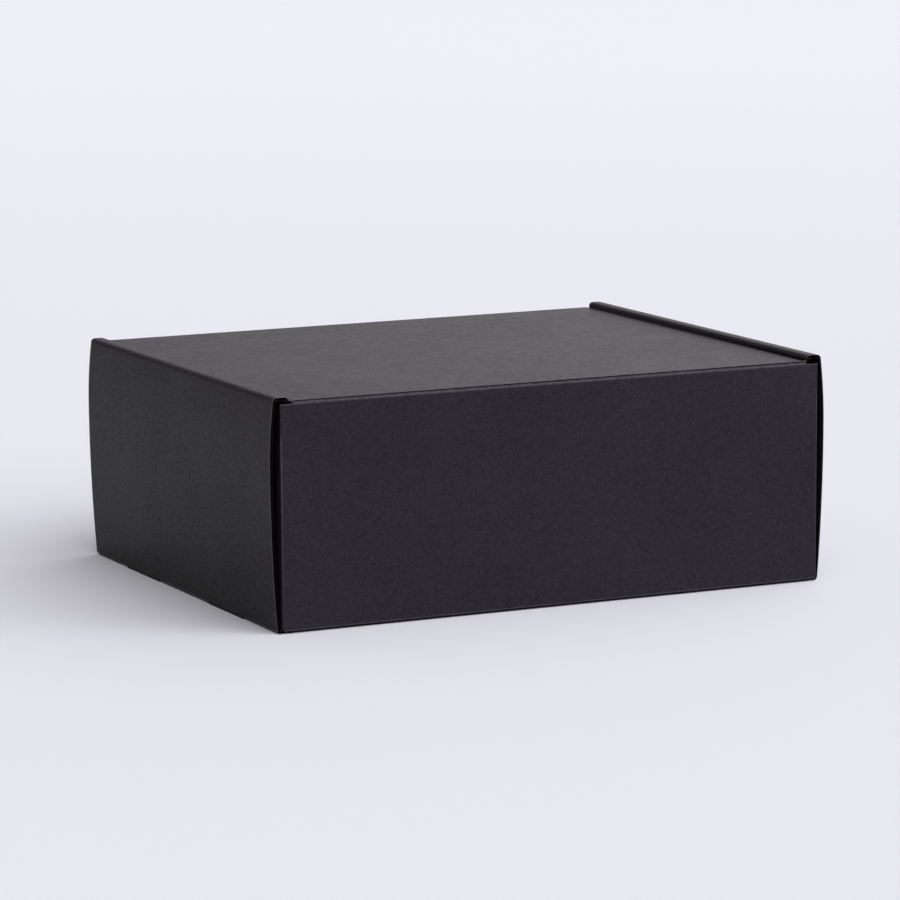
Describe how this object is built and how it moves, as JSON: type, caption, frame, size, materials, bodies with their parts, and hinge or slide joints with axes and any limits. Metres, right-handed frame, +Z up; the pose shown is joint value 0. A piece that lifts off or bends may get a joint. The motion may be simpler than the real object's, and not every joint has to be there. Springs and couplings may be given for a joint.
{
  "type": "corrugated mailer box",
  "caption": "Shallow one-piece corrugated mailer box with rolled double side walls, a hinged lid and a tuck-in front flap.",
  "frame": {"origin": "middle of the box's footprint, on the surface it stands on", "axes": "+Z up, +X along the width to the right, -Y towards the front flap"},
  "size_m": [0.2956, 0.231, 0.112],
  "materials": {
    "tray_board": "matte black-printed corrugated board",
    "lid_board": "matte black-printed corrugated board",
    "front_flap_board": "matte black-printed corrugated board"
  },
  "bodies": {
    "tray": {"tray": "tray_board"},
    "lid": {"lid": "lid_board"},
    "front_flap": {"front_flap": "front_flap_board"}
  },
  "joints": [
    {"name": "lid_fold", "type": "hinge", "parent": "tray", "child": "lid", "pos_m": [0, 0.11475, 0.10875], "axis": [-1, 0, 0], "range_deg": [0, 180]},
    {"name": "front_flap_fold", "type": "hinge", "parent": "lid", "child": "front_flap", "pos_m": [0, -0.11475, 0.10815], "axis": [-1, 0, 0], "range_deg": [0, 90]}
  ]
}
